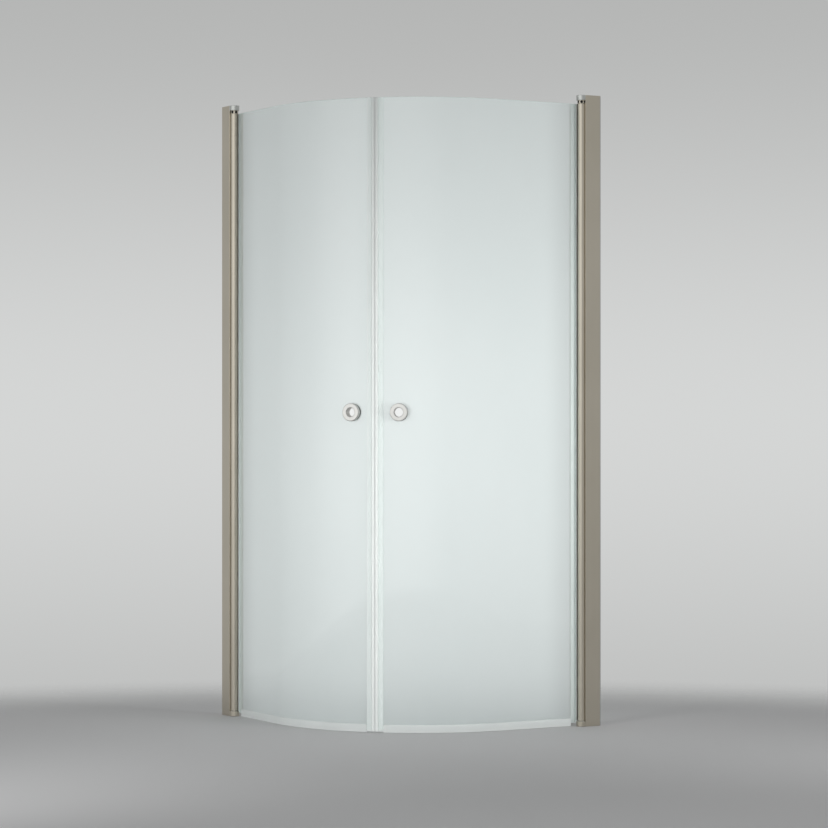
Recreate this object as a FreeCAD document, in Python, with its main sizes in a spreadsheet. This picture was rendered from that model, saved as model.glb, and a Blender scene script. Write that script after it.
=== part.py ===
import FreeCAD, Part
import math
import os
import re
import Sketcher

# Corner shower screen with two curved glass doors, in millimetres.
#
# Every piece of the left side is drawn in the corner frame: a runs along the left wall away from
# the corner, b runs away from the left wall, z is up from the floor. A half turn about z then puts
# the corner at +X +Y and the origin under the middle of the screen. The right side mirrors the left.

doc = FreeCAD.newDocument("ShowerScreen")
sheet = doc.addObject("Spreadsheet::Sheet", "Sizes")

# Driving sizes
SIZES = {
    # whole screen
    "side": 900,
    "height": 2000,
    # wall channel and the cover profile that slides over it
    "profile_width": 32,
    "profile_wall": 2,
    "cover_setback": 4,
    "cover_reach": 58,
    "front_depth": 12,
    "slide_gap": 0.3,
    "channel_depth": 34,
    "wall_hole_radius": 3.25,
    "wall_hole_inset": 150,
    "wall_hole_span": 560,
    "cap_height": 4,
    "cap_gap": 0.1,
    # screws that lock the cover on the channel
    "cover_screw_reach": 20,
    "cover_screw_inset": 200,
    "cover_screw_span": 520,
    "cover_screw_radius": 2,
    "cover_screw_length": 8,
    "cover_hole_gap": 0.25,
    # screws that hold the brackets
    "port_inset": 5,
    "port_setback": 7.5,
    "bracket_screw_radius": 1.75,
    "bracket_screw_length": 34,
    "bracket_hole_gap": 0.35,
    "screw_head_radius": 3.4,
    "screw_head_height": 2.4,
    "screw_head_gap": 0.2,
    "screw_socket_radius": 1.4,
    "screw_socket_depth": 1.5,
    "thread_fit": 0.05,
    # pivots
    "tube_lead": 6,
    "tube_radius": 12.25,
    "tube_wall": 2.5,
    "scoop_gap": 0.6,
    "bracket_height": 16,
    "bracket_gap": 0.1,
    "pin_radius": 4,
    "pin_fit": 0.05,
    "pin_seat": 12,
    "pin_depth": 32,
    "pin_chamfer": 0.8,
    "collar_height": 10.5,
    "collar_gap": 0.5,
    "collar_hole_count": 6,
    "collar_hole_radius": 3,
    "collar_hole_depth": 5,
    "washer_height": 2,
    "washer_gap": 0.2,
    "bush_length": 35,
    # glass and the leaf that it is bonded to
    "glass_thickness": 6,
    "glass_offset": 9,
    "glass_bottom": 12,
    "bend_radius": 520,
    "edge_lead": 2.25,
    "leaf_wall": 3,
    "leaf_overlap": 19.5,
    "web_width": 7,
    "tape_thickness": 0.5,
    "tape_margin": 1,
    "gasket_head": 4.3,
    "gasket_gap": 0.3,
    # seal and magnet on the free edge
    "seal_half_gap": 0.2,
    "seal_depth": 10.6,
    "seal_half_width": 6,
    "seal_wall": 1.2,
    "seal_fit": 0.15,
    "seal_leg": 15,
    "seal_floor_gap": 4,
    "magnet_fit": 0.1,
    # seal under the glass
    "clip_wall": 1.2,
    "clip_base": 2,
    "clip_height": 14,
    "lip_floor_gap": 1.5,
    "clip_end_gap": 1,
    # grip
    "grip_height": 995,
    "grip_setback": 76,
    "grip_radius": 28,
    "grip_bore": 14,
    "grip_proud": 12,
    "grip_inner_proud": 5,
    "grip_edge": 2.5,
    "grip_bore_edge": 2,
    "sleeve_wall": 2.5,
    "sleeve_engage": 3,
    "grip_gasket": 1.5,
    "grip_gasket_margin": 1,
    "grip_bush_wall": 1.3,
    "grip_bush_inset": 0.5,
}

# Places and sizes that follow from the driving sizes
FORMULAS = {
    "inner_face": "(side - profile_width)",
    "tube_a": "(side - profile_width / 2)",
    "tube_reach": "(cover_reach + tube_lead)",
    "cavity_front": "(cover_reach - front_depth)",
    "channel_inset": "(profile_wall + slide_gap)",
    "scoop_radius": "(tube_radius + scoop_gap)",
    "scoop_half": "sqrt(scoop_radius ^ 2 - tube_lead ^ 2)",
    "nose_radius": "(profile_width / 2)",
    "bracket_underside": "(height - bracket_height)",
    "bracket_near": "(inner_face + profile_wall + bracket_gap)",
    "bracket_far": "(side - profile_wall - bracket_gap)",
    "nose_root": "(cover_reach + bracket_gap)",
    "port_reach": "(cover_reach - port_setback)",
    "head_pocket_depth": "(screw_head_height + screw_head_gap)",
    "tube_bottom": "(bracket_height + washer_height + washer_gap)",
    "tube_top": "(height - bracket_height - collar_height - collar_gap)",
    "tube_bore": "(tube_radius - tube_wall)",
    "pin_bore": "(pin_radius + pin_fit)",
    "glass_line": "(tube_a - glass_offset)",
    "glass_inner": "(glass_line - glass_thickness)",
    "glass_start": "(tube_reach + tube_radius + edge_lead)",
    "bend_centre": "(glass_line - bend_radius)",
    "middle_radius": "(bend_radius - glass_thickness / 2)",
    "leaf_outer": "(glass_inner - tape_thickness)",
    "leaf_inner": "(leaf_outer - leaf_wall)",
    "leaf_end": "(glass_start + leaf_overlap)",
    "edge_setback": "(seal_half_gap + seal_depth + seal_fit)",
    "leg_end": "(seal_half_gap + seal_depth + seal_leg)",
    "clip_top": "(glass_bottom + clip_height)",
    "clip_underside": "(glass_bottom - seal_fit - clip_base)",
    "clip_outer": "(seal_fit + clip_wall)",
    "grip_angle": "(45 deg - asin(grip_setback / bend_radius))",
    "sleeve_radius": "(grip_bore + sleeve_wall)",
    "bush_inner": "(sleeve_radius + thread_fit)",
    "bush_outer": "(bush_inner + grip_bush_wall)",
    "grip_hole": "(bush_outer + thread_fit)",
    "inner_seat": "(glass_thickness + grip_gasket)",
    "sleeve_end": "(inner_seat + sleeve_engage)",
}

UP = "vector(0; 0; 1); 0"
ALONG_A = "vector(0; 1; 0); 90"
ALONG_B = "vector(1; 0; 0); -90"
ACROSS_GLASS = "vector(-sin(grip_angle); cos(grip_angle); 0); 90"
HALF_TURN = "placement(vector(side / 2; side / 2; 0); rotation(vector(0; 0; 1); 180))"

for row, (alias, number) in enumerate(SIZES.items(), start=1):
    sheet.set(f"A{row}", alias.replace("_", " "))
    sheet.set(f"B{row}", str(number))
    sheet.setAlias(f"B{row}", alias)
doc.recompute()


def bind(text):
    """The formula with every size in it written as a reference to its cell."""
    def lookup(match):
        word = match.group(0)
        if word in FORMULAS:
            return bind(FORMULAS[word])
        return "Sizes." + word if word in SIZES else word
    return re.sub(r"[a-z_]+", lookup, text)


def value(text):
    """The formula's number."""
    return float(sheet.evalExpression(bind(text)))


def spot(a, b, z, turn=UP):
    """A place in the corner frame, with a turn given as its axis and angle."""
    return f"placement(vector({a}; {b}; {z}); rotation({turn}))"


def fix(sketch, kind, edge, end, text):
    """Hold one coordinate of an edge's end at a formula; on an axis it lies on that axis."""
    if text == "0":
        axis = -2 if kind == "DistanceX" else -1
        sketch.addConstraint(Sketcher.Constraint("PointOnObject", edge, end, axis))
        return
    index = sketch.addConstraint(Sketcher.Constraint(kind, edge, end, value(text)))
    sketch.setExpression(f"Constraints[{index}]", bind(text))


def outline(sketch, corners):
    """Closed outline. A corner is (x, y), or (x, y, radius, turn) where the run to the next corner
    is an arc about a centre on the left of the way round (turn 1) or on its right (turn -1)."""
    points = [FreeCAD.Vector(value(corner[0]), value(corner[1]), 0) for corner in corners]
    starts = []
    ends = []
    for index, corner in enumerate(corners):
        first = points[index]
        last = points[(index + 1) % len(points)]
        if len(corner) == 2:
            edge = sketch.addGeometry(Part.LineSegment(first, last), False)
            starts.append((edge, 1))
            ends.append((edge, 2))
            continue
        radius = value(corner[2])
        turn = corner[3]
        chord = last - first
        left = FreeCAD.Vector(-chord.y, chord.x, 0).normalize()
        rise = math.sqrt(radius ** 2 - (chord.Length / 2) ** 2)
        centre = (first + last) * 0.5 + left * (turn * rise)
        circle = Part.Circle(centre, FreeCAD.Vector(0, 0, 1), radius)
        tips = (first, last) if turn > 0 else (last, first)
        angles = [math.atan2(tip.y - centre.y, tip.x - centre.x) for tip in tips]
        edge = sketch.addGeometry(Part.ArcOfCircle(circle, *angles), False)
        starts.append((edge, 1 if turn > 0 else 2))
        ends.append((edge, 2 if turn > 0 else 1))
        held = sketch.addConstraint(Sketcher.Constraint("Radius", edge, radius))
        sketch.setExpression(f"Constraints[{held}]", bind(corner[2]))
    for index, corner in enumerate(corners):
        follower = starts[(index + 1) % len(starts)]
        sketch.addConstraint(Sketcher.Constraint("Coincident", *ends[index], *follower))
        fix(sketch, "DistanceX", *starts[index], corner[0])
        fix(sketch, "DistanceY", *starts[index], corner[1])


def new_sketch(body, role, *outlines):
    """Sketch of closed outlines on one of the body's own origin planes."""
    sketch = body.newObject("Sketcher::SketchObject", body.Name + "_sketch")
    planes = {feature.Role: feature for feature in body.Origin.OriginFeatures}
    sketch.AttachmentSupport = planes[role]
    sketch.MapMode = "FlatFace"
    for corners in outlines:
        outline(sketch, corners)
    return sketch


def extrude(body, low, high, *outlines):
    """Raise plan outlines from one height to another as a pad of the body."""
    sketch = new_sketch(body, "XY_Plane", *outlines)
    sketch.setExpression("AttachmentOffset.Base.z", bind(low))
    pad = body.newObject("PartDesign::Pad", body.Name + "_pad")
    pad.Profile = sketch
    pad.setExpression("Length", bind(f"({high}) - ({low})"))
    doc.recompute()
    return body


def new_body(name):
    return doc.addObject("PartDesign::Body", name)


def turned(name, corners):
    """Body turned about its own z axis from an outline of radius and height."""
    body = new_body(name)
    sketch = new_sketch(body, "XZ_Plane", corners)
    revolution = body.newObject("PartDesign::Revolution", name + "_turn")
    revolution.Profile = sketch
    revolution.ReferenceAxis = (sketch, ["V_Axis"])
    revolution.Angle = 360
    doc.recompute()
    return body


def rod(name, radius, length, place):
    cylinder = doc.addObject("Part::Cylinder", name)
    cylinder.setExpression("Radius", bind(radius))
    cylinder.setExpression("Height", bind(length))
    cylinder.setExpression("Placement", bind(place))
    return cylinder


def block(name, low, high):
    """Box between two corners of the corner frame."""
    box = doc.addObject("Part::Box", name)
    for side_name, start, end in zip(("Length", "Width", "Height"), low, high):
        box.setExpression(side_name, bind(f"({end}) - ({start})"))
    box.setExpression("Placement", bind(spot(*low)))
    return box


def joined(name, pieces):
    fuse = doc.addObject("Part::MultiFuse", name)
    fuse.Shapes = pieces
    return fuse


def cut(name, base, tools):
    result = doc.addObject("Part::Cut", name)
    result.Base = base
    result.Tool = tools[0] if len(tools) == 1 else joined(name + "_tools", tools)
    return result


def group(name, pieces):
    compound = doc.addObject("Part::Compound", name)
    compound.Links = pieces
    return compound


def screw(name, radius, length, place):
    """Socket-head screw: head below the origin plane's back, shank along its own z axis."""
    head = rod(name + "_head", "screw_head_radius", "screw_head_height",
               f"{place} * {spot('0', '0', '-screw_head_height')}")
    shank = rod(name + "_shank", radius, length, place)
    socket = doc.addObject("Part::Prism", name + "_socket")
    socket.Polygon = 6
    socket.setExpression("Circumradius", bind("screw_socket_radius"))
    socket.setExpression("Height", bind("screw_socket_depth"))
    socket.setExpression("Placement", bind(f"{place} * {spot('0', '0', '-screw_head_height')}"))
    return cut(name, joined(name + "_blank", [head, shank]), [socket])


def along_height(inset, span):
    """Four heights: two at an inset from the ends, two at a span about the middle."""
    return [inset, f"(height - {span}) / 2", f"(height + {span}) / 2", f"height - {inset}"]


parts = []


def settle(piece, name, place=None):
    """Put a left piece into the part's frame, and mirror it in the corner's diagonal plane."""
    piece.Label = "left_" + name
    piece.setExpression("Placement", bind(f"{HALF_TURN} * {place}" if place else HALF_TURN))
    twin = doc.addObject("Part::Mirroring", "right_" + name)
    twin.Source = piece
    twin.Base = FreeCAD.Vector(0, 0, 0)
    twin.Normal = FreeCAD.Vector(1, -1, 0)
    twin.Label = "right_" + name
    parts.extend([piece, twin])


PIVOT = ("tube_a", "tube_reach")
PORTS = [
    ("inner_face + profile_wall + port_inset", "port_reach"),
    ("side - profile_wall - port_inset", "port_reach"),
]
COVER_SCREW_HEIGHTS = along_height("cover_screw_inset", "cover_screw_span")
WALL_HOLE_HEIGHTS = along_height("wall_hole_inset", "wall_hole_span")


def wall_channel():
    """U that is screwed to the wall, open towards the door."""
    low = "inner_face + channel_inset"
    high = "side - channel_inset"
    section = [
        (low, "0"),
        (high, "0"),
        (high, "channel_depth"),
        (high + " - profile_wall", "channel_depth"),
        (high + " - profile_wall", "profile_wall"),
        (low + " + profile_wall", "profile_wall"),
        (low + " + profile_wall", "channel_depth"),
        (low, "channel_depth"),
    ]
    blank = extrude(new_body("channel_blank"), "cap_height + slide_gap", "height - cap_height - slide_gap", section)
    holes = [rod(f"wall_hole_{index}", "wall_hole_radius", "3 * profile_wall",
                 spot("tube_a", "-profile_wall", level, ALONG_B))
             for index, level in enumerate(WALL_HOLE_HEIGHTS)]
    holes += [rod(f"channel_screw_hole_{index}", "cover_screw_radius + thread_fit", "4 * profile_wall",
                  spot("inner_face", "cover_screw_reach", level, ALONG_A))
              for index, level in enumerate(COVER_SCREW_HEIGHTS)]
    settle(cut("wall_channel", blank, holes), "wall_channel")


def cover_profile():
    """Hollow profile over the channel; its solid front is scooped out round the hinge tube. At the ends the
    front is cut away between the side walls."""
    section = [
        ("inner_face", "cover_setback"),
        ("inner_face", "cover_reach"),
        ("tube_a - scoop_half", "cover_reach", "scoop_radius", 1),
        ("tube_a + scoop_half", "cover_reach"),
        ("side", "cover_reach"),
        ("side", "cover_setback"),
        ("side - profile_wall", "cover_setback"),
        ("side - profile_wall", "cavity_front"),
        ("inner_face + profile_wall", "cavity_front"),
        ("inner_face + profile_wall", "cover_setback"),
    ]
    blank = extrude(new_body("cover_blank"), "0", "height", section)
    seat_low = ("inner_face + profile_wall", "cavity_front")
    seat_high = ("side - profile_wall", "cover_reach")
    tools = [
        block("bottom_seat", (*seat_low, "0"), (*seat_high, "bracket_height")),
        block("top_seat", (*seat_low, "bracket_underside"), (*seat_high, "height")),
    ]
    tools += [rod(f"port_{index}", "bracket_screw_radius + thread_fit", "height", spot(*port, "0"))
              for index, port in enumerate(PORTS)]
    tools += [rod(f"cover_hole_{index}", "cover_screw_radius + cover_hole_gap", "2 * profile_wall",
                  spot("inner_face - profile_wall / 2", "cover_screw_reach", level, ALONG_A))
              for index, level in enumerate(COVER_SCREW_HEIGHTS)]
    settle(cut("cover_profile", blank, tools), "cover_profile")


def pivot_brackets():
    """Two blocks set between the side walls at the cover's ends, with a rounded nose round the pivot axis that
    is as wide as the cover."""
    plan = [
        ("bracket_near", "cavity_front"),
        ("bracket_far", "cavity_front"),
        ("bracket_far", "nose_root"),
        ("side", "nose_root"),
        ("side", "tube_reach", "nose_radius", 1),
        ("tube_a", "tube_reach + nose_radius", "nose_radius", 1),
        ("inner_face", "tube_reach"),
        ("inner_face", "nose_root"),
        ("bracket_near", "nose_root"),
    ]
    levels = {
        "bottom": ("0", "bracket_height", "bracket_height - pin_seat", "0"),
        "top": ("bracket_underside", "height", "bracket_underside", "height - head_pocket_depth"),
    }
    for end, (low, high, seat, pocket) in levels.items():
        blank = extrude(new_body(end + "_bracket_blank"), low, high, plan)
        tools = [rod(end + "_pin_seat", "pin_bore", "pin_seat", spot(*PIVOT, seat))]
        for index, port in enumerate(PORTS):
            tools.append(rod(f"{end}_bracket_hole_{index}", "bracket_screw_radius + bracket_hole_gap",
                             "bracket_height", spot(*port, low)))
            tools.append(rod(f"{end}_head_pocket_{index}", "screw_head_radius + screw_head_gap",
                             "head_pocket_depth", spot(*port, pocket)))
        settle(cut(end + "_pivot_bracket", blank, tools), end + "_pivot_bracket")


def screws():
    """Screws through the brackets into the cover's ports, and through the cover into the channel."""
    upside_down = "vector(1; 0; 0); 180"
    bracket_screws = []
    for index, port in enumerate(PORTS):
        bracket_screws.append(screw(f"bottom_screw_{index}", "bracket_screw_radius", "bracket_screw_length",
                                    spot(*port, "head_pocket_depth")))
        bracket_screws.append(screw(f"top_screw_{index}", "bracket_screw_radius", "bracket_screw_length",
                                    spot(*port, "height - head_pocket_depth", upside_down)))
    settle(group("bracket_screws", bracket_screws), "bracket_screws")
    cover_screws = [screw(f"cover_screw_{index}", "cover_screw_radius", "cover_screw_length",
                          spot("inner_face", "cover_screw_reach", level, ALONG_A))
                    for index, level in enumerate(COVER_SCREW_HEIGHTS)]
    settle(group("cover_screws", cover_screws), "cover_screws")


def end_caps():
    """Plugs that close the cover's hollow from the wall to its front."""
    near = "inner_face + profile_wall + cap_gap"
    far = "side - profile_wall - cap_gap"
    levels = {"bottom": ("0", "cap_height"), "top": ("height - cap_height", "height")}
    for end, (low, high) in levels.items():
        cap_low = (near, "slide_gap", low)
        cap_high = (far, "cavity_front - cap_gap", high)
        settle(block(end + "_end_cap", cap_low, cap_high), end + "_end_cap", spot(*cap_low))


def pivots():
    """Pins, collar and washer on the brackets, and the bushes in the tube's ends."""
    levels = {
        "bottom": ("bracket_height - pin_seat", "tube_bottom + pin_depth"),
        "top": ("tube_top - pin_depth", "bracket_underside + pin_seat"),
    }
    for end, (low, high) in levels.items():
        pin = turned(end + "_pivot_pin", [
            ("0", low),
            ("pin_radius - pin_chamfer", low),
            ("pin_radius", f"{low} + pin_chamfer"),
            ("pin_radius", f"{high} - pin_chamfer"),
            ("pin_radius - pin_chamfer", high),
            ("0", high),
        ])
        settle(pin, end + "_pivot_pin", spot(*PIVOT, "0"))
    sleeves = {
        "thrust_washer": ("tube_radius", "bracket_height", "bracket_height + washer_height"),
        "bottom_tube_bush": ("tube_bore - thread_fit", "tube_bottom", "tube_bottom + bush_length"),
        "top_tube_bush": ("tube_bore - thread_fit", "tube_top - bush_length", "tube_top"),
    }
    for name, (radius, low, high) in sleeves.items():
        sleeve = turned(name, [("pin_bore", low), (radius, low), (radius, high), ("pin_bore", high)])
        settle(sleeve, name, spot(*PIVOT, "0"))


def adjusting_collar():
    """Ring under the top bracket with radial holes for a turning pin."""
    low = "bracket_underside - collar_height"
    ring = turned("collar_ring", [
        ("pin_bore", low),
        ("tube_radius", low),
        ("tube_radius", "bracket_underside"),
        ("pin_bore", "bracket_underside"),
    ])
    holes = []
    for index in range(round(value("collar_hole_count"))):
        angle = f"({index} + 1 / 2) * 360 deg / round(collar_hole_count)"
        outward = f"vector(-sin({angle}); cos({angle}); 0); 90"
        start = "tube_radius - collar_hole_depth"
        holes.append(rod(f"collar_hole_{index}", "collar_hole_radius", "2 * collar_hole_depth",
                         spot(f"({start}) * cos({angle})", f"({start}) * sin({angle})",
                              "bracket_underside - collar_height / 2", outward)))
    settle(cut("adjusting_collar", ring, holes), "adjusting_collar", spot(*PIVOT, "0"))


def hinge_tube():
    """Tube round the pivot axis with a web to the leaf behind the glass."""
    web_low = "tube_reach - web_width / 2"
    web_high = "tube_reach + web_width / 2"
    web_root = "tube_a - tube_radius + tube_wall / 2"
    leaf = [
        ("leaf_inner", web_low),
        (web_root, web_low),
        (web_root, web_high),
        ("leaf_outer", web_high),
        ("leaf_outer", "leaf_end"),
        ("leaf_inner", "leaf_end"),
    ]
    length = "tube_top - tube_bottom"
    wall = rod("tube_outside", "tube_radius", length, spot(*PIVOT, "tube_bottom"))
    leaf_body = extrude(new_body("tube_leaf"), "tube_bottom", "tube_top", leaf)
    bore = rod("tube_inside", "tube_bore", length, spot(*PIVOT, "tube_bottom"))
    settle(cut("hinge_tube", joined("tube_blank", [wall, leaf_body]), [bore]), "hinge_tube")


def glass_fixings():
    """Rubber strip in the corner of tube, leaf and glass edge, and the tape behind the glass."""
    head_start = "glass_start - gasket_gap - gasket_head"
    head_end = "glass_start - gasket_gap"
    stem_end = "tube_a - tube_radius - gasket_gap"
    strip = [
        ("leaf_outer + gasket_gap", "tube_reach + web_width / 2 + gasket_gap"),
        (stem_end, "tube_reach + web_width / 2 + gasket_gap"),
        (stem_end, head_start),
        ("glass_line", head_start),
        ("glass_line", head_end),
        ("leaf_outer + gasket_gap", head_end),
    ]
    settle(extrude(new_body("glass_gasket"), "tube_bottom", "tube_top", strip), "glass_gasket")
    tape_low = ("leaf_outer", "glass_start + tape_margin", "tube_bottom")
    tape_high = ("glass_inner", "leaf_end - tape_margin", "tube_top")
    settle(block("bond_tape", tape_low, tape_high), "bond_tape", spot(*tape_low))


def on_bend(radius, setback):
    """Point at a radius about the bend's axis, a distance along the glass short of the meeting plane."""
    angle = f"(45 deg - asin(({setback}) / middle_radius))"
    return (f"bend_centre + ({radius}) * cos({angle})", f"bend_centre + ({radius}) * sin({angle})")


def by_meeting(setback, offset):
    """Point square to the meeting plane, at an offset from the glass's middle surface."""
    along = f"(middle_radius + ({offset}) + ({setback})) * cos(45)"
    across = f"(middle_radius + ({offset}) - ({setback})) * cos(45)"
    return (f"bend_centre + {along}", f"bend_centre + {across}")


def band(outer, inner, start, setback):
    """Plan of a strip that follows the glass, straight and then bent, between two offsets outwards
    from the glass's outer face."""
    outer_radius = f"bend_radius + ({outer})"
    inner_radius = f"bend_radius + ({inner})"
    return [
        (f"glass_line + ({outer})", start),
        (f"glass_line + ({outer})", "bend_centre", outer_radius, 1),
        on_bend(outer_radius, setback),
        (*on_bend(inner_radius, setback), inner_radius, -1),
        (f"glass_line + ({inner})", "bend_centre"),
        (f"glass_line + ({inner})", start),
    ]


def grip_spot(radius):
    """Place on the grip's axis at a radius about the bend's axis, its z axis pointing outwards."""
    return spot(f"bend_centre + ({radius}) * cos(grip_angle)", f"bend_centre + ({radius}) * sin(grip_angle)",
                "grip_height", ACROSS_GLASS)


def door_glass():
    """Bent pane with the hole for the grip."""
    pane = extrude(new_body("pane"), "glass_bottom", "tube_top",
                   band("0", "-glass_thickness", "glass_start", "edge_setback"))
    hole = rod("grip_hole", "grip_hole", "3 * glass_thickness", grip_spot("bend_radius - 2 * glass_thickness"))
    settle(cut("door_glass", pane, [hole]), "door_glass")


def free_edge():
    """Seal that clips over the free edge of the glass, with a magnet in its hollow front."""
    front = "seal_half_gap"
    back = "seal_half_gap + seal_depth"
    face_outer = "bend_radius + seal_fit"
    face_inner = "bend_radius - glass_thickness - seal_fit"
    profile = [
        by_meeting(front, "-seal_half_width"),
        by_meeting(front, "seal_half_width"),
        by_meeting(back, "seal_half_width"),
        (*on_bend(face_outer + " + seal_wall", back), face_outer + " + seal_wall", -1),
        on_bend(face_outer + " + seal_wall", "leg_end"),
        (*on_bend(face_outer, "leg_end"), face_outer, 1),
        on_bend(face_outer, back),
        (*on_bend(face_inner, back), face_inner, -1),
        on_bend(face_inner, "leg_end"),
        (*on_bend(face_inner + " - seal_wall", "leg_end"), face_inner + " - seal_wall", 1),
        on_bend(face_inner + " - seal_wall", back),
        by_meeting(back, "-seal_half_width"),
    ]

    def box(margin):
        near = f"{front} + {margin}"
        far = f"{back} - ({margin})"
        half = f"seal_half_width - ({margin})"
        return [by_meeting(near, f"-({half})"), by_meeting(near, half),
                by_meeting(far, half), by_meeting(far, f"-({half})")]

    seal = extrude(new_body("magnet_seal"), "seal_floor_gap", "tube_top", profile, box("seal_wall"))
    settle(seal, "magnet_seal")
    strip = extrude(new_body("magnet_strip"), "seal_floor_gap", "tube_top", box("seal_wall + magnet_fit"))
    settle(strip, "magnet_strip")


def bottom_seal():
    """Clip under the glass whose outer wall runs down as a lip to the floor."""
    start = "leaf_end + clip_end_gap"
    stop = "leg_end + clip_end_gap"
    clip_inside = "-glass_thickness - seal_fit"
    seal = new_body("bottom_seal")
    extrude(seal, "clip_underside", "clip_underside + clip_base",
            band("clip_outer", "-glass_thickness - clip_outer", start, stop))
    extrude(seal, "lip_floor_gap", "clip_top", band("clip_outer", "seal_fit", start, stop))
    extrude(seal, "clip_underside", "clip_top", band(clip_inside, "-glass_thickness - clip_outer", start, stop))
    settle(seal, "bottom_seal")


def grip():
    """Ring grip with a finger hole: outer ring with its sleeve, inner ring, bush and two soft rings."""
    front = "grip_gasket + grip_proud"
    outer = turned("outer_grip", [
        ("grip_bore", "-sleeve_end"),
        ("sleeve_radius", "-sleeve_end"),
        ("sleeve_radius", "grip_gasket"),
        ("grip_radius", "grip_gasket"),
        ("grip_radius", f"{front} - grip_edge", "grip_edge", 1),
        ("grip_radius - grip_edge", front),
        ("grip_bore + grip_bore_edge", front, "grip_bore_edge", 1),
        ("grip_bore", f"{front} - grip_bore_edge"),
    ])
    settle(outer, "outer_grip", grip_spot("bend_radius"))
    back = "-inner_seat - grip_inner_proud"
    shoulder = "-sleeve_end - thread_fit"
    inner = turned("inner_grip", [
        ("grip_bore", back),
        ("grip_radius - grip_edge", back, "grip_edge", 1),
        ("grip_radius", f"{back} + grip_edge"),
        ("grip_radius", "-inner_seat"),
        ("bush_inner", "-inner_seat"),
        ("bush_inner", shoulder),
        ("grip_bore", shoulder),
    ])
    settle(inner, "inner_grip", grip_spot("bend_radius"))
    bush = turned("grip_bush", [
        ("bush_inner", "grip_bush_inset - glass_thickness"),
        ("bush_outer", "grip_bush_inset - glass_thickness"),
        ("bush_outer", "-grip_bush_inset"),
        ("bush_inner", "-grip_bush_inset"),
    ])
    settle(bush, "grip_bush", grip_spot("bend_radius"))
    soft_rings = []
    faces = {
        "outer": ("-grip_gasket", "grip_gasket"),
        "inner": ("-inner_seat", "grip_gasket - glass_thickness"),
    }
    for name, (low, high) in faces.items():
        ring = turned(name + "_gasket_blank", [
            ("bush_inner", low),
            ("grip_radius - grip_gasket_margin", low),
            ("grip_radius - grip_gasket_margin", high),
            ("bush_inner", high),
        ])
        ring.setExpression("Placement", bind(grip_spot("bend_radius")))
        soft_rings.append(ring)
    outer_drum = rod("glass_outer_face", "bend_radius", "height", spot("bend_centre", "bend_centre", "0"))
    inner_drum = rod("glass_inner_face", "bend_radius - glass_thickness", "height",
                     spot("bend_centre", "bend_centre", "0"))
    inside = doc.addObject("Part::Common", "inner_gasket")
    inside.Base = soft_rings[1]
    inside.Tool = inner_drum
    settle(group("grip_gaskets", [cut("outer_gasket", soft_rings[0], [outer_drum]), inside]), "grip_gaskets")


wall_channel()
cover_profile()
pivot_brackets()
screws()
end_caps()
pivots()
adjusting_collar()
hinge_tube()
glass_fixings()
door_glass()
free_edge()
bottom_seal()
grip()
doc.recompute()

for item in doc.Objects:
    if "Invalid" in item.State or "Error" in item.State:
        raise RuntimeError(f"{item.Label} failed: {item.State}")
for part in parts:
    if part.Shape.isNull() or not part.Shape.isValid() or part.Shape.Volume <= 0:
        raise RuntimeError(f"{part.Label} has no valid solid")

os.makedirs("parts", exist_ok=True)
for part in parts:
    part.Shape.exportStep(f"parts/{part.Label}.step")
print(f"{len(parts)} pieces written")
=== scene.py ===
import math

import bpy
import numpy as np
from mathutils.geometry import tessellate_polygon
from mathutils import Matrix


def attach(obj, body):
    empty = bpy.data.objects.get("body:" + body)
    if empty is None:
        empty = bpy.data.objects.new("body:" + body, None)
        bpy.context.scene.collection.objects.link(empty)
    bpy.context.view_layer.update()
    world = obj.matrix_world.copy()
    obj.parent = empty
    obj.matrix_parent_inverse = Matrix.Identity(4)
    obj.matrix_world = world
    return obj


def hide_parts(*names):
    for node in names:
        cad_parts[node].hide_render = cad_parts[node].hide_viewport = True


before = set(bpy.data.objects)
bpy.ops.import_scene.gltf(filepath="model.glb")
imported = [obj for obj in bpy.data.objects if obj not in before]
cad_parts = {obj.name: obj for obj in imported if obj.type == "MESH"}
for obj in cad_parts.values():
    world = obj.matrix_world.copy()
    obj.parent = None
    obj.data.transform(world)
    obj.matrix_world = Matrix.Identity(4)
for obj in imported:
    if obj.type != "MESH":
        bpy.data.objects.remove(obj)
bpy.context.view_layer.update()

# Corner shower screen with two bent glass doors.
#
# Pieces of the left side are worked out in millimetres in the corner frame: a runs along the left
# wall away from the corner, b runs away from that wall, z is up. The right side swaps a and b.

MM = 0.001
HALF_SIDE = 450.0
HEIGHT = 2000.0
DIAGONAL = math.radians(45)  # the plane where the doors meet

# profile, brackets and plugs
INNER_FACE = 868.0
OUTER_FACE = 900.0
PROFILE_WALL = 2.0
COVER_BACK = 4.0
CAVITY_FRONT = 46.0
COVER_FRONT = 58.0
BRACKET = 16.0
BRACKET_GAP = 0.1
FIT_NEAR = INNER_FACE + PROFILE_WALL + BRACKET_GAP
FIT_FAR = OUTER_FACE - PROFILE_WALL - BRACKET_GAP
PORTS = np.array([[875.0, 50.5], [893.0, 50.5]])
PORT_HOLE = 2.1
HEAD_POCKET = 3.6
HEAD_DEPTH = 2.6
PLUG = 4.0
PLUG_BACK = 0.3

# pivot, tube and leaf
PIVOT = np.array([884.0, 64.0])
PIN_BORE = 4.05
PIN_SEAT = 12.0
SCOOP_RADIUS = 12.85
NOSE_RADIUS = 16.0
COLLAR = 10.5
COLLAR_HOLES = 6
COLLAR_HOLE = 3.0
COLLAR_RIM = 4.5
COLLAR_FLOOR = 7.25
TUBE_RADIUS = 12.25
TUBE_BORE = 9.75
TUBE_LOW = 18.2
TUBE_HIGH = 1973.0
WEB = 3.5
LEAF_FRONT = 868.5
LEAF_BACK = 865.5
LEAF_END = 98.0

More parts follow.
